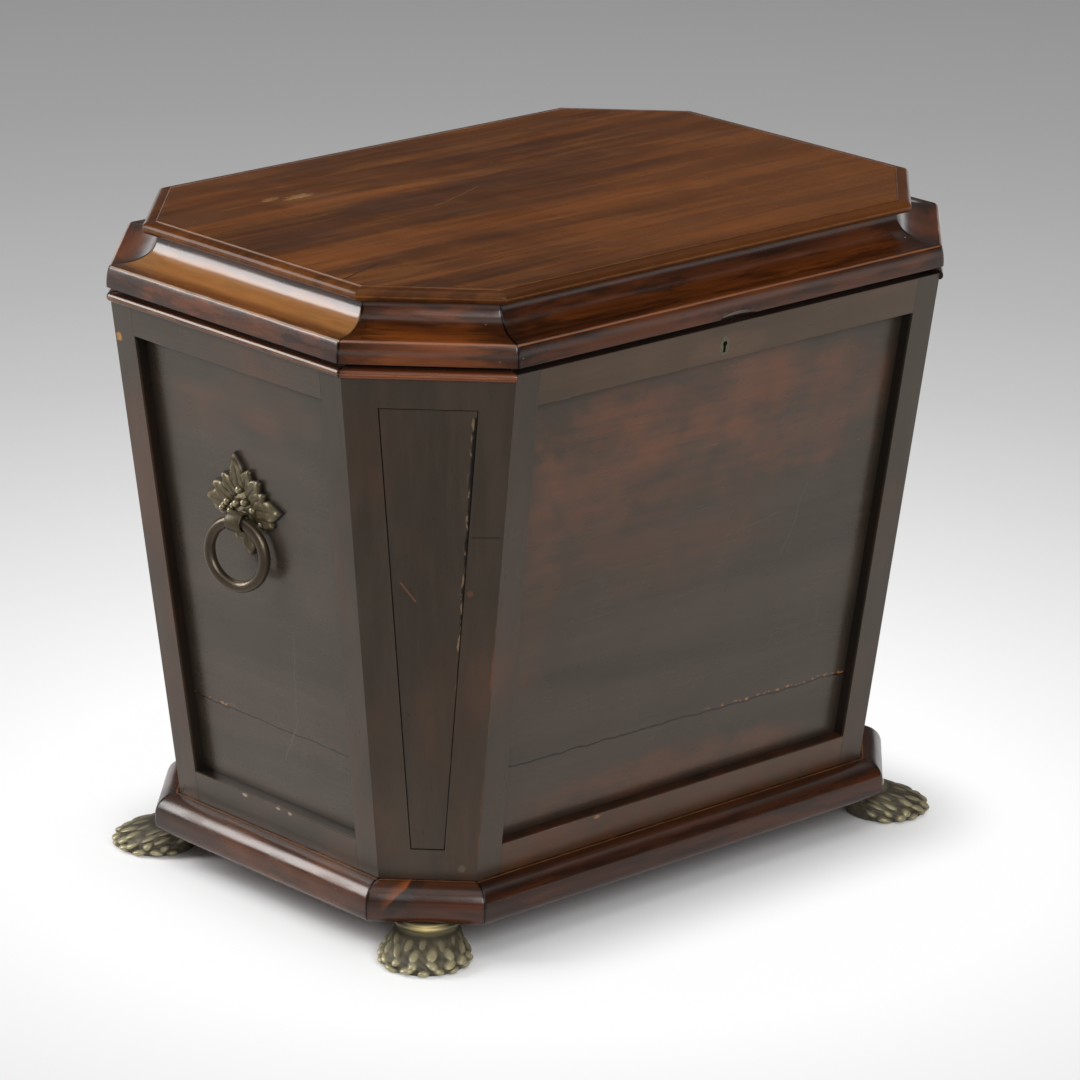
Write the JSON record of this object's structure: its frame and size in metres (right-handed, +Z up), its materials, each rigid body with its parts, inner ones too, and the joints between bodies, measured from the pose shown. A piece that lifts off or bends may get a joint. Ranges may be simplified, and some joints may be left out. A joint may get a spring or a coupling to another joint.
{
  "type": "cellarette",
  "caption": "Tapering canted-corner wooden wine chest with hinged moulded lid, bottle cells in a lined interior, ring handles and cast paw feet.",
  "frame": {"origin": "on the ground, under the middle of the case", "axes": "+Z up, +X along the length to the right as seen from the keyhole side, which faces -Y"},
  "size_m": [0.664, 0.485, 0.552],
  "materials": {
    "lid_mahogany": "old polish, worn, figured",
    "moulding_mahogany": "polished, red-brown with dark patches",
    "panel_mahogany": "dark grey-brown patina, semi-gloss",
    "frame_mahogany": "dark grey-brown patina, semi-gloss",
    "divider_mahogany": "unpolished, waxed",
    "pine": "bare, dusty",
    "lead": "dull grey sheet lead",
    "cast_brass": "aged, bronzed, worn bright on high points",
    "ring_brass": "aged brown, smooth",
    "plain_brass": "old lacquered brass",
    "iron": "dull iron"
  },
  "bodies": {
    "case": {"back_panel": "panel_mahogany", "back_rails": "frame_mahogany", "back_stiles": "frame_mahogany", "base_moulding_back": "moulding_mahogany", "base_moulding_corners": "moulding_mahogany", "base_moulding_front": "moulding_mahogany", "base_moulding_left": "moulding_mahogany", "base_moulding_right": "moulding_mahogany", "case_bottom": "pine", "case_screws": "iron", "corner_board_back_left": "frame_mahogany", "corner_board_back_right": "frame_mahogany", "corner_board_front_left": "frame_mahogany", "corner_board_front_right": "frame_mahogany", "corner_inlays": "panel_mahogany", "cross_dividers": "divider_mahogany", "foot_screws": "iron", "front_panel": "panel_mahogany", "front_rails": "frame_mahogany", "front_stiles": "frame_mahogany", "handle_nuts": "plain_brass", "handle_plate_left": "cast_brass", "handle_plate_right": "cast_brass", "handle_post_left": "cast_brass", "handle_post_right": "cast_brass", "hinge_leaf_case_left": "plain_brass", "hinge_leaf_case_right": "plain_brass", "hinge_pins": "plain_brass", "keyhole_escutcheon": "plain_brass", "left_panel": "panel_mahogany", "left_rails": "frame_mahogany", "left_stiles": "frame_mahogany", "liner_floor": "lead", "liner_walls": "lead", "lock_case": "iron", "long_dividers": "divider_mahogany", "paw_foot_back_left": "cast_brass", "paw_foot_back_right": "cast_brass", "paw_foot_front_left": "cast_brass", "paw_foot_front_right": "cast_brass", "right_panel": "panel_mahogany", "right_rails": "frame_mahogany", "right_stiles": "frame_mahogany", "rim_bead_back": "moulding_mahogany", "rim_bead_corners": "moulding_mahogany", "rim_bead_left": "moulding_mahogany", "rim_bead_right": "moulding_mahogany"},
    "lid": {"hinge_leaf_lid_left": "plain_brass", "hinge_leaf_lid_right": "plain_brass", "lid_moulding_back": "moulding_mahogany", "lid_moulding_corners": "moulding_mahogany", "lid_moulding_front": "moulding_mahogany", "lid_moulding_left": "moulding_mahogany", "lid_moulding_right": "moulding_mahogany", "lid_screws": "iron", "lid_top": "lid_mahogany", "lock_link_plate": "plain_brass"},
    "bolt": {"lock_bolt": "iron"},
    "left_ring": {"handle_ring_left": "ring_brass"},
    "right_ring": {"handle_ring_right": "ring_brass"}
  },
  "joints": [
    {"name": "lid_hinge", "type": "hinge", "parent": "case", "child": "lid", "pos_m": [0, 0.241, 0.5], "axis": [-1, 0, 0], "range_deg": [0, 95]},
    {"name": "left_ring_swing", "type": "hinge", "parent": "case", "child": "left_ring", "pos_m": [-0.30848, 0.007, 0.33231], "axis": [-0.2419, 0.9703, 0], "range_deg": [-3, 100]},
    {"name": "right_ring_swing", "type": "hinge", "parent": "case", "child": "right_ring", "pos_m": [0.30848, 0.007, 0.33231], "axis": [-0.2419, -0.9703, 0], "range_deg": [-3, 100]},
    {"name": "bolt_slide", "type": "slide", "parent": "case", "child": "bolt", "axis": [1, 0, 0], "range_m": [0, 0.0055]}
  ]
}
